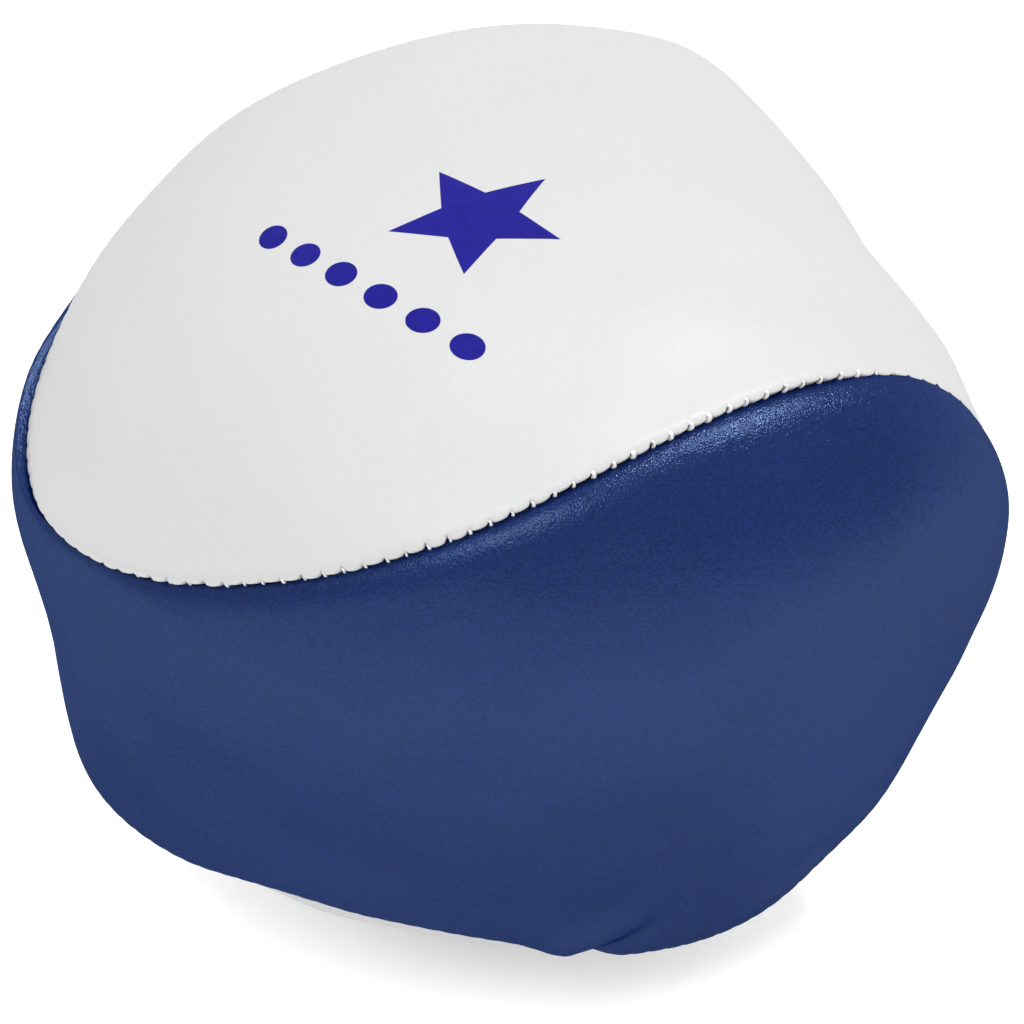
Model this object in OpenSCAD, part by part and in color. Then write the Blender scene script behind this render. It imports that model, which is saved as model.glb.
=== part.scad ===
// Two-panel juggling ball: a sewn leather-cloth cover filled with loose plastic pellets.
// Two dumbbell-shaped panels meet along one tennis-ball seam. The white panel runs from the top
// lobe, down the right side and under the ball. The blue panel runs from the front lobe, round
// the left side to the back lobe. Origin: on the floor, under the middle of the ball.

/* [Seam] */
// Half length of the ball from the left tips of the seam to the right tips
seam_half_length = 31; // [27:0.5:35]
// Width of the white panel at its waist
white_waist = 35; // [30:1:40]
// Front-to-back distance between the seam's corners
corner_depth = 49.5; // [46:0.5:54]
// Width of the blue panel at its waist
blue_waist = 28; // [24:1:34]
// Height between the seam's corners
corner_height = 48; // [45:1:54]
// How square the seam's tips are
tip_square = 1.4; // [0:0.1:1.6]
// How square the seam's corners are, front to back
depth_square = 1.7; // [0:0.1:2]
// How square the seam's corners are, up and down
height_square = 2; // [0:0.1:2.4]

/* [Filling shape] */
// How far the white lobes crown, as a share of their half width
white_crown = 0.58; // [0.3:0.01:0.6]
// How far the blue lobes crown, as a share of their half width
blue_crown = 0.39; // [0.3:0.01:0.5]
// How far the two waists crown, as a share of their half width
waist_crown = 0.1; // [0.08:0.01:0.2]
// How far the white lobes flatten towards their tips
white_tip_flat = 1; // [0.3:0.05:1]
// How far the blue lobes flatten towards their tips
blue_tip_flat = 0.25; // [0:0.05:1]
// How much fuller the blue panel is above its middle than below it
blue_rise = 0.35; // [0:0.05:0.5]
// How far the top and the foot of the ball hang below its middle
sag = 7.5; // [0:0.5:8]
// Sideways lean of the top of the ball
lean_side = -2.5; // [-4:0.5:4]
// Lean of the top of the ball to the front
lean_front = 2; // [-4:0.5:4]
// How far the top and the foot bow to the front
bow = -1; // [-3:0.5:2]
// How far the left end lifts
left_lift = -4; // [-5:0.5:2]
// How far the right end lifts
right_lift = 2.5; // [0:0.5:4]
// How much deeper the ball is at its right end
depth_taper = 0.18; // [0:0.01:0.2]
// Depth of the crown that rests flat on the floor
foot_flat = 2.5; // [1:0.5:5]

/* [Cover] */
// Thickness of the leather cloth
cover_t = 1; // [0.8:0.1:1.1]
// Depth of the seam allowance that is turned inside
allowance = 3.5; // [3.5:0.5:5]
// Gap between the two panels along the seam
seam_gap = 0.7; // [0.6:0.1:0.9]

/* [Thread] */
// Distance from one machine stitch to the next
stitch_pitch = 1.5; // [1.4:0.1:2.5]
// Diameter of the machine thread
thread_d = 0.3; // [0.25:0.05:0.35]
// Length of the seam that is closed by hand after filling
closing_length = 24; // [15:1:35]
// Diameter of the hand-sewing thread
closing_d = 0.5; // [0.4:0.1:0.6]

/* [Printed mark] */
// Distance from the middle of the star to its points
star_r = 6; // [4:0.5:7]
// Number of dots in the row beside the star
dot_count = 6; // [3:1:7]
// Diameter of one dot
dot_d = 2.4; // [1.5:0.1:2.8]
// Thickness of the ink
ink_t = 0.06; // [0.04:0.01:0.1]

/* [Pellets] */
// Diameter of one pellet
pellet_d = 4.4; // [4:0.1:4.6]
// Length of one pellet
pellet_l = 4; // [3:0.1:4.4]
// Room that each pellet takes along each axis
pellet_pitch = 4.7; // [4.7:0.1:5.1]

/* [Hidden] */

white = [0.89, 0.89, 0.89];
blue = [0.16, 0.24, 0.43];
thread_white = [0.93, 0.93, 0.91];
ink = [0.13, 0.11, 0.58];
pellet_grey = [0.8, 0.8, 0.76];

// the seam curve's first and third harmonics, from the waist widths and the corner distances
corner = 1 / sqrt(2);
y1 = (white_waist / 2 + corner_depth / 2 / corner) / 2;
y3 = white_waist / 2 - y1 - depth_square;
z1 = (blue_waist / 2 + corner_height / 2 / corner) / 2;
z3 = blue_waist / 2 - z1 - height_square;
tip_reach = seam_half_length - tip_square;

// distance from the middle over which lean, bow, lift and sag reach their full value
span = 30;
// half the number of rows along a panel, and the columns across it
rows = 36;
cols = 14;
// half the seam gap: how far each panel stops short of the seam
edge = seam_gap / 2;
// the level, below the middle of the ball, of the floor that it stands on
low_point = min([for (t = [-60:2:-20], v = [-0.5:0.1:0.5]) raw(0, t, v, edge).z]);
floor_z = low_point + foot_flat;

// ---- the seam and the two panels, about the middle of the ball ----

// the seam: right tips at 0 and 180 degrees, left tips at 90 and 270
function seam(t) = [
    tip_reach * cos(2 * t) + tip_square * cos(6 * t),
    y1 * cos(t) + y3 * cos(3 * t) + depth_square * cos(5 * t),
    z1 * sin(t) - z3 * sin(3 * t) + height_square * sin(5 * t)
];

// the filled ball's slump: it leans, bows and sags, and its ends lift by different amounts
function slump(p) = [
    p.x + lean_side * p.z / span,
    p.y * (1 + depth_taper * p.x / span) - lean_front * p.z / span - bow * pow(p.z / span, 2),
    p.z + (p.x < 0 ? left_lift : right_lift) * pow(p.x / span, 2) + sag * (1 - pow(p.z / span, 2))
];

// a point of a panel at station t along it (0 at its waist, 90 at a tip) and v across it (-1 to 1);
// the panel stops short of the seam by the margin m, and crowns out from its own chords
function raw(is_blue, t, v, m) = let (
    s = seam(t + 90 * is_blue),
    first = is_blue ? z1 : y1,
    third = is_blue ? z3 : y3,
    fifth = is_blue ? height_square : depth_square,
    along_x = (is_blue ? 1 : -1) * (2 * tip_reach * sin(2 * t) + 6 * tip_square * sin(6 * t)),
    along_y = -y1 * cos(t) + 3 * y3 * cos(3 * t) - 5 * depth_square * cos(5 * t),
    along_z = z1 * cos(t) - 3 * z3 * cos(3 * t) + 5 * height_square * cos(5 * t),
    along = is_blue ? [along_x, along_y, 0] : [along_x, 0, along_z],
    closing_in = abs(first * sin(t) + 3 * third * sin(3 * t) + 5 * fifth * sin(5 * t)),
    slant = norm([norm(along), closing_in]),
    half = (is_blue ? s.z : s.y) - m * norm(along) / slant,
    out = (is_blue ? [along.y, -along.x, 0] : [along.z, 0, -along.x]) / norm(along),
    lobe = is_blue ? blue_crown : white_crown,
    flat = 1 - (is_blue ? blue_tip_flat : white_tip_flat) * pow(sin(t), 8),
    share = waist_crown + (lobe - waist_crown) * pow(sin(t), 2) * flat,
    crown = share * half * (1 - v * v) * (1 + blue_rise * is_blue * v),
    middle = is_blue ? [s.x, s.y, half * v] : [s.x, half * v, s.z],
    back = along / norm(along) * m * closing_in / slant * sign(t)
) slump(middle - back + out * crown);

// a point moved inwards by d, and kept off the floor by the same amount
function inwards(p, d) = let (
    q = p * (1 - d / norm(p))
) [q.x, q.y, max(q.z, floor_z + d)];

// points across and along one panel's skin, d below its outer face
function skin(is_blue, m, d) = [
    for (i = [-rows:rows], j = [0:cols])
        inwards(raw(is_blue, i * 90 / rows * tip_trim, 2 * j / cols - 1, m), d)
];
tip_trim = 0.994;

// stands the ball on the floor, with the middle of its box over the origin
outline = concat(skin(0, edge, 0), skin(1, edge, 0));
xs = [for (p = outline) p.x];
ys = [for (p = outline) p.y];
module stand() {
    translate([-(min(xs) + max(xs)) / 2, -(min(ys) + max(ys)) / 2, -floor_z]) children();
}

// ---- one panel: skin, lining side and the turned-in allowance as one closed shell ----

// the grid's rim, once round: up one side, across the tip, down the other side, across the tip
row_n = 2 * rows + 1;
col_n = cols + 1;
rim = concat(
    [for (i = [0:row_n - 1]) i * col_n + cols],
    [for (j = [cols - 1:-1:0]) (row_n - 1) * col_n + j],
    [for (i = [row_n - 2:-1:0]) i * col_n],
    [for (j = [1:cols - 1]) j]
);
rim_n = len(rim);

function grid_faces(start, flip) = [
    for (i = [0:row_n - 2], j = [0:cols - 1], k = [0:1]) let (
        a = start + i * col_n + j,
        b = a + 1,
        c = a + col_n,
        d = c + 1,
        tri = k == 0 ? [a, c, b] : [b, c, d]
    ) flip ? [tri[2], tri[1], tri[0]] : tri
];

function band_faces(from, to, flip) = [
    for (i = [0:len(from) - 1], k = [0:1]) let (
        n = (i + 1) % len(from),
        tri = k == 0 ? [from[i], to[i], from[n]] : [from[n], to[i], to[n]]
    ) flip ? [tri[2], tri[1], tri[0]] : tri
];

module panel(is_blue) {
    outer = skin(is_blue, edge, 0);
    inner = skin(is_blue, edge + cover_t, cover_t);
    deep_outer = skin(is_blue, edge, allowance);
    deep_inner = skin(is_blue, edge + cover_t, allowance);
    n = len(outer);
    points = concat(outer, inner, [for (i = rim) deep_outer[i]], [for (i = rim) deep_inner[i]]);
    rim_1 = [for (i = [0:rim_n - 1]) 2 * n + i];
    rim_2 = [for (i = [0:rim_n - 1]) 2 * n + rim_n + i];
    faces = concat(
        grid_faces(0, is_blue == 1),
        band_faces(rim, rim_1, is_blue == 0),
        band_faces(rim_1, rim_2, is_blue == 0),
        band_faces(rim_2, [for (i = rim) n + i], is_blue == 0),
        grid_faces(n, is_blue == 0)
    );
    polyhedron(points, faces, convexity = 6);
}

module white_panel() {
    color(white) stand() panel(0);
}

module blue_panel() {
    color(blue) stand() panel(1);
}

// ---- thread ----

// distance along the seam against its angle, so that stitches come at an even pitch
step = 2;
seam_points = [for (t = [0:step:360]) slump(seam(t))];
function run_to(i, sum = 0, k = 1) =
    k > i ? sum : run_to(i, sum + norm(seam_points[k] - seam_points[k - 1]), k + 1);
run = [for (i = [0:len(seam_points) - 1]) [run_to(i), i * step]];
seam_length = run[len(run) - 1][0];
stitches = round(seam_length / stitch_pitch);

// the hand-closed stretch starts here, low at the front
closing_at = 0.61;
function by_hand(s) = s > closing_at * seam_length && s < closing_at * seam_length + closing_length;

// a place on the seam at distance s: the point d below the surface, the way out and the way across
function place(s, d) = let (
    t = lookup(s, run),
    p = slump(seam(t)),
    ahead = slump(seam(t + 1)) - slump(seam(t - 1)),
    out = p / norm(p),
    across = cross(ahead, out)
) [p - out * d, out, across / norm(across)];

// share of the gap that a stitch spans
stitch_reach = 0.25;

// a round bar centred on a point, along a direction
module bar(centre, way, d, l) {
    translate(centre)
        rotate([0, acos(way.z / norm(way)), atan2(way.y, way.x)])
            cylinder(d = d, h = l, center = true, $fn = 16);
}

// one closed thread that lies on the inside of one panel's allowance, all the way round
thread_rings = 120;
thread_sides = 6;
// room between the thread's middle and the allowance that it lies along
thread_room = 0.5;
module thread_ring(side) {
    shift = edge + cover_t + thread_room;
    depth = allowance - thread_d;
    points = [
        for (i = [0:thread_rings - 1], k = [0:thread_sides - 1]) let (
            at = place(i * seam_length / thread_rings, depth),
            a = 360 * k / thread_sides
        ) at[0] + at[2] * side * shift + thread_d / 2 * (cos(a) * at[1] + sin(a) * at[2])
    ];
    faces = [
        for (i = [0:thread_rings - 1], k = [0:thread_sides - 1], h = [0:1]) let (
            a = i * thread_sides + k,
            b = i * thread_sides + (k + 1) % thread_sides,
            c = (a + thread_sides) % len(points),
            d = (b + thread_sides) % len(points)
        ) h == 0 ? [a, c, b] : [b, c, d]
    ];
    polyhedron(points, faces, convexity = 8);
}

// the upper thread's stitches, seen across the gap
module needle_thread() {
    color(thread_white) stand()
        for (i = [0:stitches - 1])
            if (!by_hand(i * seam_length / stitches)) {
                at = place(i * seam_length / stitches, thread_d);
                bar(at[0], at[2], thread_d, seam_gap * stitch_reach);
            }
}

// the same thread's run from stitch to stitch, inside the white allowance
module needle_thread_inside() {
    color(thread_white) stand() thread_ring(-1);
}

// the lower thread, inside the blue allowance
module bobbin_thread() {
    color(thread_white) stand() thread_ring(1);
}

module closing_thread() {
    hand_pitch = 3;
    color(thread_white) stand()
        for (i = [1:floor(closing_length / hand_pitch)]) {
            at = place(closing_at * seam_length + (i - 0.5) * hand_pitch, closing_d);
            bar(at[0], at[2], closing_d, seam_gap * stitch_reach);
        }
}

// ---- printed mark: a star and a row of dots on the top lobe ----

// clearance under the ink, and the places of the two prints: station along the panel and v across
ink_lift = 0.05;
star_at = [40, -0.04];
dots_at = [49, -0.15];
// the print reads across the lobe, turned this far from straight across
print_turn = 23;
dot_pitch = 3.8;
// the lobe's size for laying the print out: mm per degree of station, and half its width
lobe_reach = seam_half_length * PI / 90;
lobe_half = seam(45).y;

// a place on the print, x to its right and y up, laid on the panel at height h
function on_print(at, q, h) = let (
    along = -q.y * cos(print_turn) - q.x * sin(print_turn),
    across = -q.x * cos(print_turn) + q.y * sin(print_turn)
) inwards(raw(0, at[0] + along / lobe_reach, at[1] + across / lobe_half, edge), -h);

// a flat shape of ink: rings of an outline drawn smaller and smaller about its centre
module ink_shape(at, centre, outline, rings) {
    n = len(outline);
    one_side = 1 + rings * n;
    points = [
        for (h = [ink_lift, ink_lift + ink_t], r = [0:rings], k = [0:r == 0 ? 0 : n - 1])
            on_print(at, centre + outline[k] * r / rings, h)
    ];
    function id(side, r, k) = side * one_side + (r == 0 ? 0 : 1 + (r - 1) * n + k % n);
    function turned(tri, side) = side == 0 ? [tri[0], tri[2], tri[1]] : tri;
    faces = concat(
        [for (s = [0, 1], k = [0:n - 1]) turned([id(s, 0, 0), id(s, 1, k), id(s, 1, k + 1)], s)],
        [for (s = [0, 1], r = [1:rings - 1], k = [0:n - 1])
            turned([id(s, r, k), id(s, r + 1, k), id(s, r, k + 1)], s)],
        [for (s = [0, 1], r = [1:rings - 1], k = [0:n - 1])
            turned([id(s, r, k + 1), id(s, r + 1, k), id(s, r + 1, k + 1)], s)],
        [for (k = [0:n - 1]) [id(0, rings, k), id(0, rings, k + 1), id(1, rings, k)]],
        [for (k = [0:n - 1]) [id(0, rings, k + 1), id(1, rings, k + 1), id(1, rings, k)]]
    );
    polyhedron(points, faces, convexity = 4);
}

// a five-pointed star, each of its ten edges cut in four
star_waist = 0.45;
star_cuts = 4;
function star_corner(k) = star_r * (k % 2 == 0 ? 1 : star_waist) * [sin(36 * k), cos(36 * k)];
star_outline = [
    for (k = [0:9], j = [0:star_cuts - 1])
        star_corner(k) + (star_corner(k + 1) - star_corner(k)) * j / star_cuts
];
dot_outline = [for (a = [0:18:342]) dot_d / 2 * [sin(a), cos(a)]];

module printed_mark() {
    color(ink) stand() {
        ink_shape(star_at, [0, 0], star_outline, 4);
        for (i = [0:dot_count - 1])
            ink_shape(dots_at, [(i - (dot_count - 1) / 2) * dot_pitch, 0], dot_outline, 2);
    }
}

// ---- pellets ----

// room left round a pellet, and how far it reaches from its own middle with that room
pellet_room = 0.7;
pellet_reach = norm([pellet_d, pellet_l]) / 2 + pellet_room;

// planes that a pellet's middle stays under, all over the lining: [way out, distance]
under = [
    for (is_blue = [0, 1], t = [-84:6:84], v = [-0.9:0.3:0.9]) let (
        p = raw(is_blue, t, v, edge),
        side = cross(raw(is_blue, t + 1, v, edge) - p, raw(is_blue, t, v + 0.05, edge) - p),
        out = side / norm(side) * sign(side * p)
    ) [out, out * p - cover_t - pellet_reach]
];

// the middle of the turned-in allowances, and the room that they and their threads take
seam_core = [for (i = [0:2:len(seam_points) - 1]) seam_points[i] * (1 - allowance / 2 / span)];
seam_room = norm([allowance / 2, edge + cover_t + thread_room + thread_d]) + pellet_reach;

// no part of the ball is farther than this from its middle
reach_limit = 40;
function fits(q) =
    norm(q) < reach_limit
    && min([for (c = seam_core) norm(q - c)]) > seam_room
    && min([for (u = under) u[1] - u[0] * q]) > 0;

// rows of pellets in a layer, the seed of their shifts and turns, and the first layer's lift
layer_n = 14;
pellet_seed = 7;
pellet_lift = 0.2;
module pellets(from, to) {
    color(pellet_grey) stand()
        for (k = [from:to]) {
            z = floor_z + cover_t + pellet_pitch * (k + 0.5) + pellet_lift;
            shift = rands(0, pellet_pitch, 2 * layer_n, pellet_seed + k);
            turn = rands(0, 3, 4 * layer_n * layer_n, pellet_seed + layer_n + k);
            for (j = [0:layer_n], i = [0:layer_n]) {
                y = (j - layer_n / 2) * pellet_pitch + shift[0] - pellet_pitch / 2;
                x = (i - layer_n / 2) * pellet_pitch + shift[j + 1] - pellet_pitch / 2;
                lie = floor(turn[j * layer_n + i]);
                if (fits([x, y, z]))
                    translate([x, y, z])
                        rotate(lie == 0 ? [0, 0, 0] : lie == 1 ? [90, 0, 0] : [0, 90, 0])
                            cylinder(d = pellet_d, h = pellet_l, center = true, $fn = 16);
            }
        }
}

module pellets_bottom() {
    pellets(0, 1);
}

module pellets_low() {
    pellets(2, 3);
}

module pellets_mid_low() {
    pellets(4, 5);
}

module pellets_mid_high() {
    pellets(6, 7);
}

module pellets_high() {
    pellets(8, 9);
}

module pellets_top() {
    pellets(10, 12);
}

white_panel();
blue_panel();
needle_thread();
needle_thread_inside();
bobbin_thread();
closing_thread();
printed_mark();
pellets_bottom();
pellets_low();
pellets_mid_low();
pellets_mid_high();
pellets_high();
pellets_top();
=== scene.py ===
"""A two-panel juggling ball on a pale floor: the sewn leather-cloth cover, its thread and its print."""
import math

import bpy
import numpy as np
from mathutils import Matrix, Vector, noise
from mathutils.kdtree import KDTree


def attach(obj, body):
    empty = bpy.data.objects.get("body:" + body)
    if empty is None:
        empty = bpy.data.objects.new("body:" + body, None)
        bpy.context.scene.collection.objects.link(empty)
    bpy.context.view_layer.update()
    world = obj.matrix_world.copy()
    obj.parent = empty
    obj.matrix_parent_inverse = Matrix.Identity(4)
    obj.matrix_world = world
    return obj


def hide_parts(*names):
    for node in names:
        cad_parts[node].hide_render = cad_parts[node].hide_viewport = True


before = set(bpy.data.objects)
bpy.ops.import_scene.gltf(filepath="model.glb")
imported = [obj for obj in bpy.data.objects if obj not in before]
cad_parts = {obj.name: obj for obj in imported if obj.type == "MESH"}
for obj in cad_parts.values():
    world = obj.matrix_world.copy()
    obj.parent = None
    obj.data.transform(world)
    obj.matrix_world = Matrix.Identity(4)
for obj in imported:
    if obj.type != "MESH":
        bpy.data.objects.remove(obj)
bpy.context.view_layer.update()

# ---- the ball's measures, in mm, as the CAD has them ----

# half the ball's length, the panels' waists, and the depth and height at the seam's corners
HALF_LENGTH = 31.0
WHITE_WAIST = 35.0
CORNER_DEPTH = 49.5
BLUE_WAIST = 28.0
CORNER_HEIGHT = 48.0
# how square the seam's tips are, and its corners in depth and in height
TIP_SQUARE = 1.4
DEPTH_SQUARE = 1.7
HEIGHT_SQUARE = 2.0
# how far the panels crown, as a share of their half width: at the lobes and at the waists;
# then how flat the lobes' tips are, and how much fuller the blue is above its middle
WHITE_CROWN = 0.58
BLUE_CROWN = 0.39
WAIST_CROWN = 0.1
WHITE_TIP_FLAT = 1.0
BLUE_TIP_FLAT = 0.25
BLUE_RISE = 0.35
# how the filled ball sags, leans, bows, lifts its ends, tapers and flattens at its foot
SAG = 7.5
LEAN_SIDE = -2.5
LEAN_FRONT = 2.0
BOW = -1.0
LEFT_LIFT = -4.0
RIGHT_LIFT = 2.5
DEPTH_TAPER = 0.18
FOOT_FLAT = 2.5
# the length that the slump's shares are counted in
SPAN = 30.0

# the seam's waves along its depth and its height
CORNER = math.sqrt(2) / 2
Y1 = (WHITE_WAIST / 2 + CORNER_DEPTH / 2 / CORNER) / 2
Y3 = WHITE_WAIST / 2 - Y1 - DEPTH_SQUARE
Z1 = (BLUE_WAIST / 2 + CORNER_HEIGHT / 2 / CORNER) / 2
Z3 = BLUE_WAIST / 2 - Z1 - HEIGHT_SQUARE
TIP_REACH = HALF_LENGTH - TIP_SQUARE

# the machine stitches' pitch; the hand-sewn run's start as a share of the seam, length and pitch
STITCH_PITCH = 1.5
CLOSING_AT = 0.61
CLOSING_LENGTH = 24.0
HAND_PITCH = 3.0

# the print: a star and a row of dots, their places (station along the panel, share across it)
# and their turn
STAR_R = 6.0
STAR_WAIST = 0.45
DOT_COUNT = 6
DOT_D = 2.4
DOT_PITCH = 3.8
STAR_AT = (40.0, -0.04)
DOTS_AT = (49.0, -0.15)
PRINT_TURN = math.radians(23)

MM = 0.001


# ---- the ball's form ----


def seam(t):
    """The seam at angle t in degrees, before the filling slumps."""
    a = np.radians(t)
    return np.stack(
        [
            TIP_REACH * np.cos(2 * a) + TIP_SQUARE * np.cos(6 * a),
            Y1 * np.cos(a) + Y3 * np.cos(3 * a) + DEPTH_SQUARE * np.cos(5 * a),
            Z1 * np.sin(a) - Z3 * np.sin(3 * a) + HEIGHT_SQUARE * np.sin(5 * a),
        ],
        -1,
    )


def slump(p):
    """The filled ball leans, bows and sags, and its ends lift by different amounts."""
    x, y, z = p[..., 0] / SPAN, p[..., 1], p[..., 2] / SPAN
    lift = np.where(x < 0, LEFT_LIFT, RIGHT_LIFT)
    return np.stack(
        [
            p[..., 0] + LEAN_SIDE * z,
            y * (1 + DEPTH_TAPER * x) - LEAN_FRONT * z - BOW * z**2,
            p[..., 2] + lift * x**2 + SAG * (1 - z**2),
        ],
        -1,
    )


def panel_points(blue, t, v):
    """Points of a panel at stations t (degrees from its waist) and places v across it."""
    t, v = np.broadcast_arrays(np.asarray(t, float), np.asarray(v, float))
    a = np.radians(t)
    s = seam(t + 90 * blue)
    zero = np.zeros_like(a)
    along_x = (1 if blue else -1) * (2 * TIP_REACH * np.sin(2 * a) + 6 * TIP_SQUARE * np.sin(6 * a))
    if blue:
        along_y = -Y1 * np.cos(a) + 3 * Y3 * np.cos(3 * a) - 5 * DEPTH_SQUARE * np.cos(5 * a)
        out = np.stack([along_y, -along_x, zero], -1)
        half = s[..., 2]
        middle = np.stack([s[..., 0], s[..., 1], half * v], -1)
        lobe, tip_flat, rise = BLUE_CROWN, BLUE_TIP_FLAT, BLUE_RISE
    else:
        along_z = Z1 * np.cos(a) - 3 * Z3 * np.cos(3 * a) + 5 * HEIGHT_SQUARE * np.cos(5 * a)
        out = np.stack([along_z, zero, -along_x], -1)
        half = s[..., 1]
        middle = np.stack([s[..., 0], half * v, s[..., 2]], -1)
        lobe, tip_flat, rise = WHITE_CROWN, WHITE_TIP_FLAT, 0
    out /= np.linalg.norm(out, axis=-1, keepdims=True)
    share = WAIST_CROWN + (lobe - WAIST_CROWN) * np.sin(a) ** 2 * (1 - tip_flat * np.sin(a) ** 8)
    crown = share * half * (1 - v * v) * (1 + rise * v)
    return slump(middle + out * crown[..., None])


def unit(a):
    """Vectors brought to a length of 1."""
    return a / np.maximum(np.linalg.norm(a, axis=-1, keepdims=True), 1e-9)


# the floor: the lowest place of the white lower lobe, pressed in by the foot's flat
low_t = np.arange(-60, -19, 2)
low_v = np.linspace(-0.5, 0.5, 11)
FLOOR = panel_points(0, low_t[:, None], low_v[None, :])[..., 2].min() + FOOT_FLAT

# the CAD's own stations, over whose middle it puts the origin
rows_t = np.arange(-36, 37) * 2.5 * 0.994
rows_v = np.linspace(-1, 1, 15)
both_grids = [panel_points(b, rows_t[:, None], rows_v[None, :]) for b in (0, 1)]
outline = np.concatenate([grid.reshape(-1, 3) for grid in both_grids])
MID = np.array([np.ptp(outline[:, k]) / 2 + outline[:, k].min() for k in (0, 1)] + [FLOOR])

# the seam as a fine polyline with its distance run, way ahead, way out and way across to the blue
SEAM_CUTS = 4320
seam_t = np.linspace(0, 360, SEAM_CUTS + 1)
seam_p = slump(seam(seam_t))
seam_run = np.concatenate([[0], np.cumsum(np.linalg.norm(np.diff(seam_p, axis=0), axis=1))])
SEAM_LENGTH = seam_run[-1]
seam_ahead = unit(np.roll(seam_p[:-1], -1, 0) - np.roll(seam_p[:-1], 1, 0))
seam_ahead = np.concatenate([seam_ahead, seam_ahead[:1]])
seam_out = unit(seam_p)
seam_across = unit(np.cross(seam_ahead, seam_out))
STITCHES = round(SEAM_LENGTH / STITCH_PITCH)
PITCH = SEAM_LENGTH / STITCHES

seam_tree = KDTree(SEAM_CUTS)
for i, p in enumerate(seam_p[:-1]):
    seam_tree.insert(p, i)
seam_tree.balance()


def near_seam(points):
    """For each point: the nearest seam sample, its distance and the distance run along the seam."""
    k = np.array([seam_tree.find(p)[1] for p in points])
    gap = points - seam_p[k]
    ahead = np.sum(gap * seam_ahead[k], 1)
    apart = np.linalg.norm(gap - ahead[:, None] * seam_ahead[k], axis=1)
    return k, apart, seam_run[k] + ahead


def to_stitch(run):
    """Distance along the seam to the nearest machine stitch."""
    return (run / PITCH + 0.5) % 1 * PITCH - PITCH / 2


# ---- meshes ----


def to_room(p):
    """Ball coordinates in mm to the row frame in metres."""
    return (p - MID) * MM


def add_mesh(name, verts, faces, material, smooth=True):
    """A new object in the scene, its points in metres."""
    mesh = bpy.data.meshes.new(name)
    mesh.from_pydata(verts.tolist(), [], [list(f) for f in faces])
    mesh.validate()
    if smooth:
        mesh.shade_smooth()
    mesh.materials.append(material)
    obj = bpy.data.objects.new(name, mesh)
    bpy.context.scene.collection.objects.link(obj)
    return obj


def grid_faces(rows, cols, flip):
    """The four-sided faces of a grid of points, turned over where flip says so."""
    i, j = np.meshgrid(np.arange(rows - 1), np.arange(cols - 1), indexing="ij")
    a = (i * cols + j).ravel()
    quads = np.stack([a, a + cols, a + cols + 1, a + 1], 1)
    return quads[:, ::-1] if flip else quads


# ---- materials ----


def new_material(name):
    """A material with its nodes, its links and its Principled shader."""
    m = bpy.data.materials.new(name)
    m.use_nodes = True
    nodes, links = m.node_tree.nodes, m.node_tree.links
    return m, nodes, links, nodes["Principled BSDF"]


def object_coord(nodes):
    """Coordinates that stay with the piece, in metres."""
    return nodes.new("ShaderNodeTexCoord").outputs["Object"]


def math_node(nodes, links, operation, a, b):
    """One step of arithmetic on a socket and a second socket or a number."""
    n = nodes.new("ShaderNodeMath")
    n.operation = operation
    links.new(a, n.inputs[0])
    if isinstance(b, float):
        n.inputs[1].default_value = b
    else:
        links.new(b, n.inputs[1])
    return n.outputs[0]


def ramp_node(nodes, links, source, low, high, low_to=0.0, high_to=1.0):
    """A smooth rise from low_to to high_to while the source goes from low to high."""
    n = nodes.new("ShaderNodeMapRange")
    n.interpolation_type = "SMOOTHSTEP"
    for k, value in enumerate((low, high, low_to, high_to)):
        n.inputs[k + 1].default_value = value
    links.new(source, n.inputs[0])
    return n.outputs[0]


def noise_node(nodes, links, coord, scale, detail=2.0, rough=0.5):
    """Noise from 0 to 1, its scale counted in lumps to the metre."""
    n = nodes.new("ShaderNodeTexNoise")
    n.inputs["Scale"].default_value = scale
    n.inputs["Detail"].default_value = detail
    n.inputs["Roughness"].default_value = rough
    links.new(coord, n.inputs["Vector"])
    return n.outputs["Fac"]


def mix_node(nodes, links, source, first, second):
    """A colour that goes from the first to the second while the source goes from 0 to 1."""
    n = nodes.new("ShaderNodeMix")
    n.data_type = "RGBA"
    n.inputs["A"].default_value = (*first, 1)
    n.inputs["B"].default_value = (*second, 1)
    links.new(source, n.inputs["Factor"])
    return n.outputs["Result"]


def bump_node(nodes, links, height, distance):
    """A bump as deep as the distance, in metres, while the height goes from 0 to 1."""
    n = nodes.new("ShaderNodeBump")
    n.inputs["Distance"].default_value = distance
    links.new(height, n.inputs["Height"])
    return n.outputs[0]


# the leathers' gloss grows towards grazing angles up to a small limit
GLOSS_IOR = 1.48
GLOSS_MOST = 0.05
# the leathers' clouds and their share in the colour, how rough the pebbles' noise is, and the
# range of the two together over which the colour goes to its shade
CLOUD_SCALE = 60
CLOUD_SHARE = 0.25
PEBBLE_ROUGH = 0.7
SHADE_RANGE = (0.42, 0.84)
# the range of the fine grain over which the gloss goes from sharper to duller than its middle
FINE_RANGE = (0.3, 0.7)
SHARPER = 0.05
DULLER = 0.07
# the thread's fibres: their scale, the painted shade in the gaps between them, its range and their bump
FIBRE_SCALE = 6000
FIBRE_SHADE = 0.7
FIBRE_RANGE = (0.3, 0.6)
FIBRE_DEEP = 0.00003
# the ink's two blues, the clouds they change with, and the cloth's grain that shows through
INK_DARK = (0.007, 0.0055, 0.165)
INK_LIGHT = (0.0085, 0.0068, 0.19)
FILM_SCALE = 900
FILM_RANGE = (0.35, 0.65)
INK_GRAIN_SCALE = 3200
INK_GRAIN_DEEP = 0.00001
# the pellets' two greys and the clouds they change with
PELLET_DARK = (0.5, 0.5, 0.45)
PELLET_LIGHT = (0.68, 0.68, 0.63)
PELLET_SCALE = 200


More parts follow.
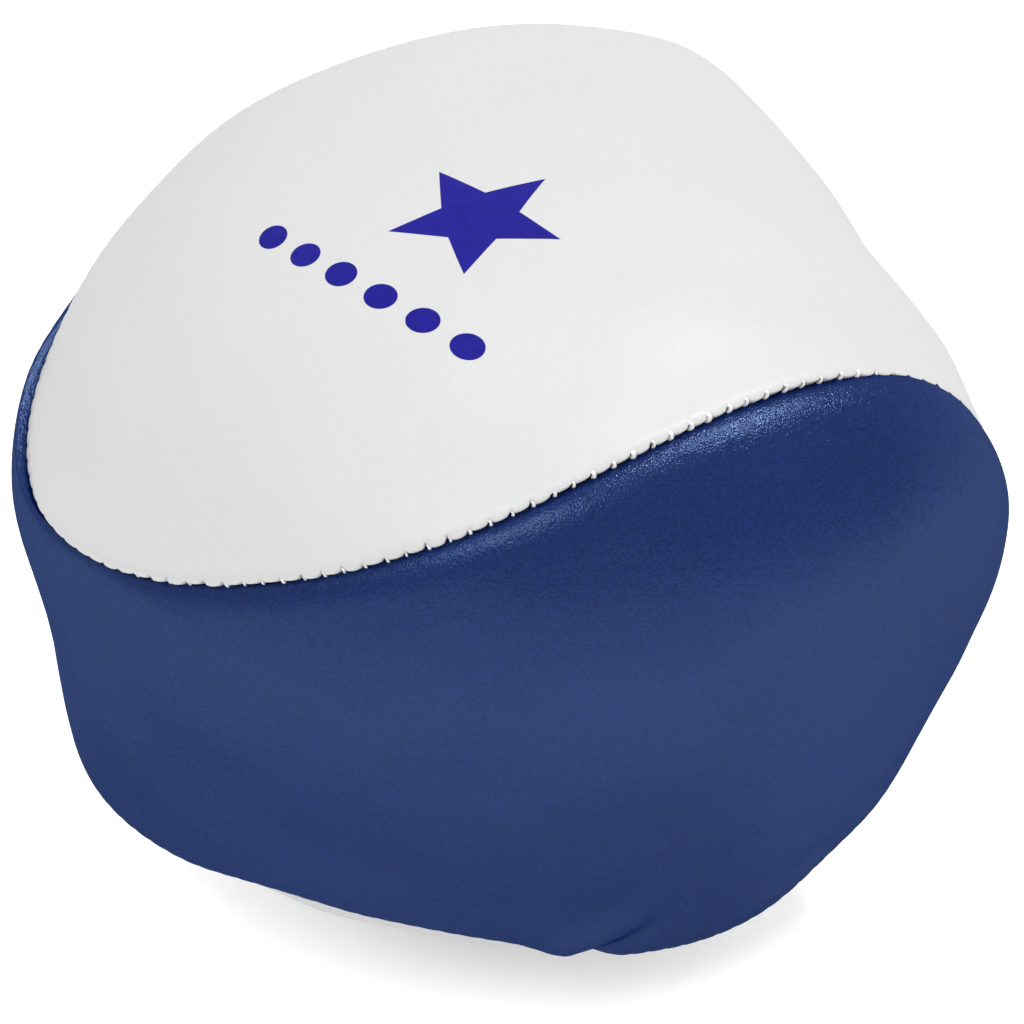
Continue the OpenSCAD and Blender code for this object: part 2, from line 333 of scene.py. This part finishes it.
def leather(name, colour, shade, rough, gloss_tint, grain, grain_scale):
    """Coated leather cloth: a fine grain, faint cloudiness and a tinted gloss."""
    m, nodes, links, bsdf = new_material(name)
    coord = object_coord(nodes)
    cloud = noise_node(nodes, links, coord, CLOUD_SCALE, 3)
    fine = noise_node(nodes, links, coord, grain_scale / 4, 2)
    pebble = noise_node(nodes, links, coord, grain_scale, 2, PEBBLE_ROUGH)

    faint_cloud = math_node(nodes, links, "MULTIPLY", cloud, CLOUD_SHARE)
    both = math_node(nodes, links, "ADD", faint_cloud, pebble)
    shaded = ramp_node(nodes, links, both, *SHADE_RANGE)
    links.new(mix_node(nodes, links, shaded, colour, shade), bsdf.inputs["Base Color"])

    dull = ramp_node(nodes, links, fine, *FINE_RANGE, rough - SHARPER, rough + DULLER)
    links.new(dull, bsdf.inputs["Roughness"])
    bsdf.inputs["Specular IOR Level"].default_value = 0.0

    bump = bump_node(nodes, links, math_node(nodes, links, "ADD", pebble, fine), grain)
    links.new(bump, bsdf.inputs["Normal"])

    gloss = nodes.new("ShaderNodeBsdfGlossy")
    gloss.inputs["Color"].default_value = (*gloss_tint, 1)
    links.new(dull, gloss.inputs["Roughness"])
    links.new(bump, gloss.inputs["Normal"])
    fresnel = nodes.new("ShaderNodeFresnel")
    fresnel.inputs["IOR"].default_value = GLOSS_IOR
    blend = nodes.new("ShaderNodeMixShader")
    links.new(math_node(nodes, links, "MINIMUM", fresnel.outputs[0], GLOSS_MOST), blend.inputs["Fac"])
    links.new(bsdf.outputs[0], blend.inputs[1])
    links.new(gloss.outputs[0], blend.inputs[2])
    links.new(blend.outputs[0], nodes["Material Output"].inputs["Surface"])
    return m


def thread_material(name, colour):
    """Spun thread: fine fibres with painted shade in the gaps between them, and a faint sheen."""
    m, nodes, links, bsdf = new_material(name)
    fibre = noise_node(nodes, links, object_coord(nodes), FIBRE_SCALE, 3)
    # painted shade: the colour darkens where the fibres' bump is low, in the gaps between them
    lit = ramp_node(nodes, links, fibre, *FIBRE_RANGE)
    between = [c * FIBRE_SHADE for c in colour]
    links.new(mix_node(nodes, links, lit, between, colour), bsdf.inputs["Base Color"])
    bsdf.inputs["Roughness"].default_value = 0.55
    bsdf.inputs["Sheen Weight"].default_value = 0.2
    links.new(bump_node(nodes, links, fibre, FIBRE_DEEP), bsdf.inputs["Normal"])
    return m


def ink_material(name):
    """Printed ink: a nearly even blue film that follows the cloth's grain."""
    m, nodes, links, bsdf = new_material(name)
    coord = object_coord(nodes)
    film = ramp_node(nodes, links, noise_node(nodes, links, coord, FILM_SCALE, 3), *FILM_RANGE)
    links.new(mix_node(nodes, links, film, INK_DARK, INK_LIGHT), bsdf.inputs["Base Color"])
    bsdf.inputs["Roughness"].default_value = 0.45
    bsdf.inputs["Specular IOR Level"].default_value = 0.08
    grain = noise_node(nodes, links, coord, INK_GRAIN_SCALE, 2)
    links.new(bump_node(nodes, links, grain, INK_GRAIN_DEEP), bsdf.inputs["Normal"])
    return m


def pellet_material(name):
    """Plastic in two close greys."""
    m, nodes, links, bsdf = new_material(name)
    cloud = noise_node(nodes, links, object_coord(nodes), PELLET_SCALE, 2)
    links.new(mix_node(nodes, links, cloud, PELLET_DARK, PELLET_LIGHT), bsdf.inputs["Base Color"])
    bsdf.inputs["Roughness"].default_value = 0.5
    return m


white_leather = leather(
    "white_leather",
    colour=(0.456, 0.456, 0.459),
    shade=(0.439, 0.439, 0.442),
    rough=0.46,
    gloss_tint=(1, 1, 1),
    grain=0.000005,
    grain_scale=5000,
)
blue_leather = leather(
    "blue_leather",
    colour=(0.002, 0.013, 0.087),
    shade=(0.0003, 0.003, 0.034),
    rough=0.16,
    gloss_tint=(0.38, 0.57, 1),
    grain=0.00004,
    grain_scale=6000,
)
thread = thread_material("thread", (0.72, 0.72, 0.71))
ink = ink_material("ink")
pellet = pellet_material("pellet")

# ---- the two panels ----

# the grid's rows along a panel and columns across it, how much closer the columns get towards
# the seam, and the panel's last station, just short of its tip
ROWS = 1000
COLS = 60
COLUMN_POWER = 1.6
LAST_STATION = 89.7
# the edge's roll on the white and the blue panel: how far it reaches and how deep it goes
ROLL = {0: (0.8, 0.35), 1: (2.8, 1.05)}
# the white edge between stitches: how far it hangs over the seam, and how full its scallops are
OVERHANG = 0.17
PUFF_POWER = 0.7
# the notch that a stitch pulls into the white edge and the peak that it draws out of the blue one
NOTCH = 0.2
NOTCH_WIDE = 0.15
NOTCH_DEEP = 0.3
PEAK = 0.2
# how deep a stitch pinches the cloth, along the seam and away from it
PINCH = 0.05
PINCH_WIDE = 0.25
PINCH_REACH = 0.6
# how far each edge stays off the seam, and how far from it that is felt
EDGE_GAP = 0.05
EDGE_REACH = 0.7
# the rim turned in at the seam
LINING_STEP = 0.5
LINING_STEPS = 3

SEED = 11
rng = np.random.default_rng(SEED)
# how tightly each stitch pulls its notch
TIGHT = rng.uniform(0.45, 1.3, STITCHES)


def column_places():
    """Places across a panel from -1 to 1, close together near the seam."""
    g = np.linspace(0, 1, COLS + 1)
    side = 1 - g**COLUMN_POWER
    return np.concatenate([-side[:-1], [0], side[-2::-1]])


# soft dents where the cloth has lost its filling, and with a depth below 0 the places
# that it fills out: middle, reach and depth
DENTS = [
    ((-32, -8, 11), 5.0, 0.5),
    ((17, -22, -19), 4.0, 0.4),
    ((-32, 3, 3), 6.5, 0.9),
    ((30.5, -3, 19), 7.0, 1.1),
    ((26, 17, 23), 6.0, -0.55),
    ((30.5, -13, 16), 4.0, -0.3),
    ((9, 20, 28), 7.0, -0.35),
]
# the pucker at the foot of the blue front lobe: its two ends, width, depth, bend and reach,
# how fast it fades towards its top and below its foot
PUCKER_FOOT = slump(seam(229.0))
PUCKER_TOP = np.array([5.5, -25.5, -14.0])
PUCKER_WIDE = 1.1
PUCKER_DEEP = 0.7
PUCKER_BEND = 1.2
PUCKER_REACH = 12
PUCKER_FADE = 1.5
FOOT_FADE = 3
# the ridge beside it: its height and width as shares of the pucker's depth and width
RIDGE_HIGH = 0.8
RIDGE_WIDE = 1.6


def pucker(points):
    """A valley with a small ridge beside it, deep at the seam and gone at its top."""
    way = PUCKER_TOP - PUCKER_FOOT
    length = np.linalg.norm(way)
    way = way / length
    gap = points - PUCKER_FOOT
    share = gap @ way / length
    aside = np.cross(way, unit(PUCKER_FOOT))
    off = gap @ (aside / np.linalg.norm(aside))
    bend = PUCKER_BEND * np.sin(np.pi * np.clip(share, 0, 1))
    fade = np.clip(1 - share, 0, 1) ** PUCKER_FADE * np.clip(1 + share * FOOT_FADE, 0, 1)
    valley = np.exp(-(((off - bend) / PUCKER_WIDE) ** 2))
    ridge = np.exp(-(((off - bend + 2 * PUCKER_WIDE) / (RIDGE_WIDE * PUCKER_WIDE)) ** 2))
    close = np.linalg.norm(gap - np.outer(gap @ way, way), axis=1) < PUCKER_REACH
    return np.where(close, PUCKER_DEEP * fade * (RIDGE_HIGH * ridge - valley), 0)


# where the filling pushes one panel out beside the seam and lets the other sink: seam angles
# from and to, how far the white and the blue panel move out, and how much of the roll stays
SWELLS = [
    (15, 62, 0.3, -1.0, 1.0),
    (66, 96, -0.3, 0.65, 0.3),
    (154, 195, -0.05, 0.12, 0.3),
    (192, 236, -1.1, 0.5, 0.5),
    (222, 256, -0.3, 0.1, 0.3),
    (248, 284, -0.6, 0.4, 0.4),
]
# how far from the seam a swell is felt, and over how many degrees it begins and ends
SWELL_REACH = 6.0
SWELL_SOFT = 11.0

# where the white belly shows below the blue: seam angles from and to, how far it bulges,
# how far below the seam its middle is, and its reach
BELLY = (230, 256, 0.35)
BELLY_AT = 3.0
BELLY_REACH = 2.2

# how much the stitches scallop the edge: seam angles and the share there
SCALLOP_ANGLES = [0, 50, 64, 96, 104, 150, 175, 300, 320, 360]
SCALLOP_SHARES = [0.8, 0.8, 0.15, 0.15, 1.1, 1.0, 0.7, 0.5, 0.8, 0.8]

# the cloth's unevenness over the pellets, broad and small: how fine and how deep it is,
# where the small one starts, and how far from the seam both have grown in full
SOFT_FINE = 0.11
SOFT_DEEP = 0.35
LUMP_FINE = 0.32
LUMP_DEEP = 0.03
LUMP_START = Vector((7, 3, 1))
INNER_REACH = 6
# faint waves beside the seam: their two lengths, depth, distance from it and reach
WAVE_LONG = 4.7
WAVE_SHORT = 3.1
WAVE_DEEP = 0.06
WAVE_AT = 2.5
WAVE_REACH = 2.5

# how far above the floor the crown that rests begins to flatten
FOOT_SOFT = 1.2


def swell_window(angle, start, end):
    """A share that rises from 0 to 1 after the start and falls again before the end."""
    w = np.clip((angle - start) / SWELL_SOFT, 0, 1) * np.clip((end - angle) / SWELL_SOFT, 0, 1)
    return w * w * (3 - 2 * w)


def swell(blue, angle, apart):
    """How far a panel swells out beside the seam."""
    total = 0
    for start, end, white_out, blue_out, _ in SWELLS:
        total = total + (blue_out if blue else white_out) * swell_window(angle, start, end)
    return total * np.exp(-((apart / SWELL_REACH) ** 2))


def roll_share(angle):
    """How much of the edge's roll stays at a seam angle."""
    share = 1
    for start, end, _, _, roll in SWELLS:
        share = share - (1 - roll) * swell_window(angle, start, end)
    return share


def dent(points):
    """How deep the dents are at each point."""
    total = 0
    for middle, reach, depth in DENTS:
        away = np.linalg.norm(points - np.array(middle), axis=-1)
        total = total + depth * np.exp(-((away / reach) ** 2))
    return total


def fold(blue, points, k, run, apart):
    """How far the cover stands off its even form: lumps, waves, pucker, swells, belly and dents."""
    soft = np.array([noise.noise(Vector(p) * SOFT_FINE) for p in points])
    lumps = np.array([noise.noise(Vector(p) * LUMP_FINE + LUMP_START) for p in points])
    inner = np.clip(apart / INNER_REACH, 0, 1)
    beside = np.exp(-(((apart - WAVE_AT) / WAVE_REACH) ** 2))
    waves = np.sin(run / WAVE_SHORT) * np.sin(run / WAVE_LONG + 1) * beside
    total = SOFT_DEEP * soft * inner + LUMP_DEEP * lumps * inner + WAVE_DEEP * waves + pucker(points)
    total = total + swell(blue, seam_t[k], apart)
    if not blue:
        start, end, out = BELLY
        below = np.exp(-(((apart - BELLY_AT) / BELLY_REACH) ** 2))
        total = total + out * swell_window(seam_t[k], start, end) * below
    return total - dent(points)


def settle_on_floor(p):
    """The crown that rests is pressed flat, with a soft turn where it leaves the floor."""
    p = p.copy()
    z = p[..., 2] - FLOOR
    turn = (z + FOOT_SOFT) ** 2 / (4 * FOOT_SOFT)
    p[..., 2] = FLOOR + np.where(z > FOOT_SOFT, z, np.where(z < -FOOT_SOFT, 0, turn))
    return p


def panel_normals(points):
    """The way out at each point of a panel's grid."""
    n = unit(np.cross(np.gradient(points, axis=0), np.gradient(points, axis=1)))
    flip = np.sign(np.sum(n * points, -1, keepdims=True))
    return n * flip


def build_panel(blue):
    """One cover panel: a skin with a rolled and stitched edge, and a rim turned in at the seam."""
    t = np.linspace(-LAST_STATION, LAST_STATION, ROWS + 1)
    v = column_places()
    grid = panel_points(blue, t[:, None], v[None, :])
    n = panel_normals(grid)
    flat = grid.reshape(-1, 3)
    n = n.reshape(-1, 3)
    k, apart, run = near_seam(flat)
    side = -seam_across[k] if blue else seam_across[k]

    reach, deep = ROLL[blue]
    x = np.clip(1 - apart / reach, 0, 1)
    drop = deep * roll_share(seam_t[k]) * (1 - np.sqrt(np.maximum(1 - x * x, 0)))
    beside = to_stitch(run)
    notch = np.exp(-((beside / NOTCH_WIDE) ** 2)) * np.exp(-((apart / NOTCH_DEEP) ** 2))
    pinch = np.exp(-((beside / PINCH_WIDE) ** 2)) * np.exp(-((apart / PINCH_REACH) ** 2))
    scallop = np.interp(seam_t[k], SCALLOP_ANGLES, SCALLOP_SHARES)
    pulled = TIGHT[np.round(run / PITCH).astype(int) % STITCHES] * scallop
    puffed = TIGHT[np.floor(run / PITCH).astype(int) % STITCHES] * scallop
    puff = np.abs(np.sin(np.pi * beside / PITCH)) ** PUFF_POWER * puffed
    drop = drop + PINCH * pinch
    near = np.exp(-((apart / EDGE_REACH) ** 2))
    notch = notch * pulled
    pull = PEAK * notch if blue else OVERHANG * puff * x**2 - NOTCH * notch

    bent = flat + n * fold(blue, flat, k, run, apart)[:, None]
    mixed = unit(n * (1 - x[:, None]) + seam_out[k] * x[:, None])
    bent = bent - mixed * drop[:, None] + side * (pull - EDGE_GAP * near)[:, None]
    bent = settle_on_floor(bent)

    rows, cols = grid.shape[:2]
    faces = grid_faces(rows, cols, blue == 0)
    # the points once round the edge, in order
    rim = np.concatenate(
        [
            np.arange(rows) * cols + cols - 1,
            (rows - 1) * cols + np.arange(cols - 2, -1, -1),
            np.arange(rows - 2, -1, -1) * cols,
            np.arange(1, cols - 1),
        ]
    )
    verts, all_faces, last = [bent], [faces], rim
    for step in range(1, LINING_STEPS + 1):
        inward = seam_out[k[rim]] * LINING_STEP * step
        aside = side[rim] * EDGE_GAP * step / LINING_STEPS
        tucked = bent[rim] - inward + aside
        new = len(flat) + (step - 1) * len(rim) + np.arange(len(rim))
        band = np.stack([last, new, np.roll(new, -1), np.roll(last, -1)], 1)
        all_faces.append(band if blue == 0 else band[:, ::-1])
        verts.append(tucked)
        last = new
    verts = np.concatenate(verts)
    name = "blue_cover" if blue else "white_cover"
    cloth = blue_leather if blue else white_leather
    obj = add_mesh(name, to_room(verts), np.concatenate(all_faces), cloth)
    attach(obj, "root")
    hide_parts("blue_panel" if blue else "white_panel")
    return obj


white_cover = build_panel(0)
blue_cover = build_panel(1)

# ---- the stitches ----

# a thread's sides, and how deep and how fast its twist goes round
THREAD_SIDES = 8
TWIST_DEEP = 0.12
TWIST_TURN = 0.9


def smooth_path(points, count):
    """A Catmull-Rom curve through the points."""
    p = np.concatenate([[2 * points[0] - points[1]], points, [2 * points[-1] - points[-2]]])
    out = []
    # the last place stays just inside the last stretch
    for u in np.linspace(0, len(points) - 1 - 1e-6, count):
        i = int(u)
        f = u - i
        a, b, c, d = p[i : i + 4]
        square = (2 * a - 5 * b + 4 * c - d) * f**2
        cube = (3 * b - a - 3 * c + d) * f**3
        out.append(0.5 * (2 * b + (c - a) * f + square + cube))
    return np.array(out)


def tube(path, radius, start):
    """A round thread along a path, with closed ends and a slight twist in its thickness."""
    ahead = unit(np.gradient(path, axis=0))
    across = unit(np.cross(ahead, path[0] + 0 * path))
    other = np.cross(ahead, across)
    verts, faces = [], []
    for i, p in enumerate(path):
        for k in range(THREAD_SIDES):
            a = 2 * math.pi * k / THREAD_SIDES
            r = radius * (1 + TWIST_DEEP * math.sin(2 * a + i * TWIST_TURN))
            verts.append(p + r * (math.cos(a) * across[i] + math.sin(a) * other[i]))
    n = len(path)
    for i in range(n - 1):
        for k in range(THREAD_SIDES):
            a = start + i * THREAD_SIDES + k
            b = start + i * THREAD_SIDES + (k + 1) % THREAD_SIDES
            faces.append((a, b, b + THREAD_SIDES, a + THREAD_SIDES))
    faces.append([start + k for k in range(THREAD_SIDES)][::-1])
    faces.append([start + (n - 1) * THREAD_SIDES + k for k in range(THREAD_SIDES)])
    return verts, faces


def seam_frame(run):
    """The seam at a distance run: its point, the ways ahead, out and across, and its angle."""
    k = int(np.searchsorted(seam_run, run % SEAM_LENGTH)) % SEAM_CUTS
    return seam_p[k], seam_ahead[k], seam_out[k], seam_across[k], seam_t[k]


# how deep the stitches lie in the crease: seam angles and the depth there
STITCH_ANGLES = [0, 50, 66, 98, 130, 145, 152, 164, 175, 300, 320, 360]
STITCH_DEPTHS = [0.15, 0.15, 0.5, 0.5, 0.2, 0.0, 0.04, 0.12, 0.5, 0.5, 0.15, 0.15]
# a machine stitch: its radius, least and greatest size, how far it wanders along the seam, how
# much deeper it may lie, and the number of rings in its tube
STITCH_R = 0.12
STITCH_SIZES = (0.75, 1.4)
WANDER = 0.1
DEEPER = 0.1
STITCH_RINGS = 11
# its way over the white edge and down on the blue side: steps across, out and ahead
OVER_WHITE = [(-0.28, -0.4, 0), (-0.18, -0.14, 0), (-0.04, -0.18, 0.03), (0.1, -0.4, 0)]
BLUE_SIDE = (0.14, -1.2, 0)
# a hand stitch: its radius, depth under the edges, rings, and slanting way across the gap
HAND_R = 0.22
HAND_DEEP = 0.9
HAND_RINGS = 14
HAND_WAY = [(-0.8, -0.3, -0.5), (-0.4, 0, -0.25), (0, 0, 0), (0.4, 0, 0.25), (0.8, -0.3, 0.5)]


def stepped(start, step, across, out, ahead):
    """A point moved by a step across, out and ahead of the seam."""
    return start + across * step[0] + out * step[1] + ahead * step[2]


def by_hand(run):
    """Whether the seam is sewn by hand at this distance run."""
    start = CLOSING_AT * SEAM_LENGTH
    return start < run < start + CLOSING_LENGTH


verts, faces = [], []
for i in range(STITCHES):
    run = i * PITCH
    size = rng.uniform(*STITCH_SIZES)
    wander = rng.uniform(-WANDER, WANDER)
    if by_hand(run):
        continue
    p, ahead, out, across, angle = seam_frame(run + wander)
    sink = np.interp(angle, STITCH_ANGLES, STITCH_DEPTHS) + rng.uniform(0, DEEPER) + dent(p)
    white_p = p + out * (swell(0, angle, 0) - sink)
    blue_p = p + out * (swell(1, angle, 0) - sink)
    way = [stepped(white_p, step, across, out, ahead) for step in OVER_WHITE]
    way.append(stepped((white_p + blue_p) / 2, BLUE_SIDE, across, out, ahead))
    v, f = tube(smooth_path(np.array(way), STITCH_RINGS), STITCH_R * size, len(verts))
    verts += v
    faces += f
stitches = add_mesh("seam_stitches", to_room(np.array(verts)), faces, thread)
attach(stitches, "root")
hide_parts("needle_thread")

verts, faces = [], []
for i in range(int(CLOSING_LENGTH / HAND_PITCH)):
    run = CLOSING_AT * SEAM_LENGTH + (i + 0.5) * HAND_PITCH
    p, ahead, out, across, angle = seam_frame(run)
    low = p + out * (min(swell(0, angle, 0), swell(1, angle, 0)) - HAND_DEEP - dent(p))
    way = np.array([stepped(low, step, across, out, ahead) for step in HAND_WAY])
    v, f = tube(smooth_path(way, HAND_RINGS), HAND_R, len(verts))
    verts += v
    faces += f
closing = add_mesh("closing_stitches", to_room(np.array(verts)), faces, thread)
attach(closing, "root")
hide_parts("closing_thread")

# ---- the printed mark ----

# the panel's length to a degree of its stations, and its half width at the lobe
LOBE_REACH = HALF_LENGTH * math.pi / 90
LOBE_HALF = float(seam(45.0)[1])
# how far the ink's face lies above the cloth, and its side wall's foot below it
INK_LIFT = 0.02
INK_FOOT = -0.03
# small steps along and across the panel that give its slope under the ink
STEP_ALONG = 0.5
STEP_ACROSS = 0.01
# pieces in a side of the star and round a dot, and the rings of points in each
STAR_CUTS = 12
STAR_RINGS = 16
DOT_CUTS = 48
DOT_RINGS = 6


def on_print(at, q, lift):
    """Points q of the flat print laid on the top lobe round the place at, with a lift."""
    q = np.asarray(q)
    along = -q[:, 1] * math.cos(PRINT_TURN) - q[:, 0] * math.sin(PRINT_TURN)
    across = -q[:, 0] * math.cos(PRINT_TURN) + q[:, 1] * math.sin(PRINT_TURN)
    t = at[0] + along / LOBE_REACH
    v = at[1] + across / LOBE_HALF
    p = panel_points(0, t, v)
    along_step = panel_points(0, t + STEP_ALONG, v) - p
    n = unit(np.cross(along_step, panel_points(0, t, v + STEP_ACROSS) - p))
    n *= np.sign(np.sum(n * p, 1, keepdims=True))
    k, apart, run = near_seam(p)
    return p + n * (fold(0, p, k, run, apart) + lift)[:, None]


def ring_faces(a, b, n):
    """Faces between two rings of n points that start at a and at b."""
    return [(a + k, b + k, b + (k + 1) % n, a + (k + 1) % n) for k in range(n)]


def ink_shape(at, centre, edge, rings, start):
    """A thin flat shape: rings of its edge drawn smaller and smaller, and a short side wall."""
    n = len(edge)
    flat = [centre] + [centre + edge * r / rings for r in range(1, rings + 1)]
    flat = np.concatenate([np.atleast_2d(a) for a in flat])
    top = on_print(at, flat, INK_LIFT)
    foot = on_print(at, flat[-n:], INK_FOOT)
    faces = [(start, start + 1 + k, start + 1 + (k + 1) % n) for k in range(n)]
    for r in range(rings - 1):
        faces += ring_faces(start + 1 + r * n, start + 1 + (r + 1) * n, n)
    faces += ring_faces(start + 1 + (rings - 1) * n, start + len(top), n)
    return np.concatenate([top, foot]), [tuple(reversed(f)) for f in faces]


def star_edge():
    """The outline of a five-pointed star, each of its ten sides cut into short pieces."""
    corners = []
    for k in range(11):
        r = STAR_R * (1 if k % 2 == 0 else STAR_WAIST)
        corners.append(r * np.array([math.sin(k * math.pi / 5), math.cos(k * math.pi / 5)]))
    sides = [(corners[k], corners[k + 1] - corners[k]) for k in range(10)]
    return np.array([corner + side * j / STAR_CUTS for corner, side in sides for j in range(STAR_CUTS)])


turn = np.linspace(0, 2 * math.pi, DOT_CUTS, endpoint=False)
dot_edge = DOT_D / 2 * np.stack([np.sin(turn), np.cos(turn)], 1)
verts, faces = ink_shape(STAR_AT, np.zeros(2), star_edge(), STAR_RINGS, 0)
for i in range(DOT_COUNT):
    middle = np.array([(i - (DOT_COUNT - 1) / 2) * DOT_PITCH, 0.0])
    v, f = ink_shape(DOTS_AT, middle, dot_edge, DOT_RINGS, len(verts))
    verts = np.concatenate([verts, v])
    faces += f
mark = add_mesh("mark_ink", to_room(verts), faces, ink, smooth=False)
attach(mark, "root")
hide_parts("printed_mark")

# ---- what stays from the CAD: the threads inside the seam and the filling ----

for name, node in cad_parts.items():
    if name.startswith("pellets") or name in ("needle_thread_inside", "bobbin_thread"):
        node.data.materials.clear()
        node.data.materials.append(pellet if name.startswith("pellets") else thread)

# ---- floor, light and camera ----

# the floor: its side and how far it lies under the ball, in metres, its two pale greys, their
# clouds, and a glow of its own that keeps the ball's shadow pale
FLOOR_SIDE = 6
FLOOR_UNDER = 0.0001
FLOOR_DARK = (0.94, 0.94, 0.94)
FLOOR_LIGHT = (0.95, 0.95, 0.95)
FLOOR_SCALE = 3
FLOOR_GLOW = 0.2


def floor_material(name):
    """A dull pale floor with a faint glow."""
    m, nodes, links, bsdf = new_material(name)
    cloud = noise_node(nodes, links, object_coord(nodes), FLOOR_SCALE, 2)
    links.new(mix_node(nodes, links, cloud, FLOOR_DARK, FLOOR_LIGHT), bsdf.inputs["Base Color"])
    bsdf.inputs["Roughness"].default_value = 0.9
    bsdf.inputs["Specular IOR Level"].default_value = 0.1
    bsdf.inputs["Emission Color"].default_value = (1, 1, 1, 1)
    bsdf.inputs["Emission Strength"].default_value = FLOOR_GLOW
    return m


bpy.ops.mesh.primitive_plane_add(size=FLOOR_SIDE, location=(0, 0, -FLOOR_UNDER))
floor = bpy.context.object
floor.name = "floor"
floor.data.materials.append(floor_material("pale_floor"))

# an even white studio, and two soft lamps turned to the ball
world = bpy.data.worlds.new("studio")
world.use_nodes = True
world.node_tree.nodes["Background"].inputs["Color"].default_value = (1, 1, 1, 1)
world.node_tree.nodes["Background"].inputs["Strength"].default_value = 1.0
bpy.context.scene.world = world
bpy.context.scene.view_settings.view_transform = "Standard"

BALL_MIDDLE = Vector((0, 0, 0.03))


def area_light(name, place, size, watts):
    """A round lamp at a place in metres, turned to the ball."""
    data = bpy.data.lights.new(name, "AREA")
    data.shape = "DISK"
    data.size = size
    data.energy = watts
    obj = bpy.data.objects.new(name, data)
    obj.location = place
    obj.rotation_euler = (BALL_MIDDLE - Vector(place)).to_track_quat("-Z", "Y").to_euler()
    bpy.context.scene.collection.objects.link(obj)


area_light("key", (0.44, 0.07, 1.04), size=0.15, watts=6.1)
area_light("front", (-0.4, -0.5, 1.0), size=0.4, watts=4.5)

# the camera's place and aim in metres, its roll, and its lens and film width in mm
CAMERA_AT = Vector((-0.0974, -0.2661, 0.2755))
CAMERA_AIM = Vector((0.003, 0.0009, 0.0322))
CAMERA_ROLL = math.radians(2.7)
FOCAL = 183.5
FILM_WIDTH = 36
camera_data = bpy.data.cameras.new("camera")
camera_data.lens = FOCAL
camera_data.sensor_width = FILM_WIDTH
camera_data.clip_start = 0.01
camera = bpy.data.objects.new("camera", camera_data)
bpy.context.scene.collection.objects.link(camera)
level = (CAMERA_AIM - CAMERA_AT).to_track_quat("-Z", "Y").to_matrix().to_4x4()
camera.matrix_world = Matrix.Translation(CAMERA_AT) @ level @ Matrix.Rotation(-CAMERA_ROLL, 4, "Z")
bpy.context.scene.camera = camera
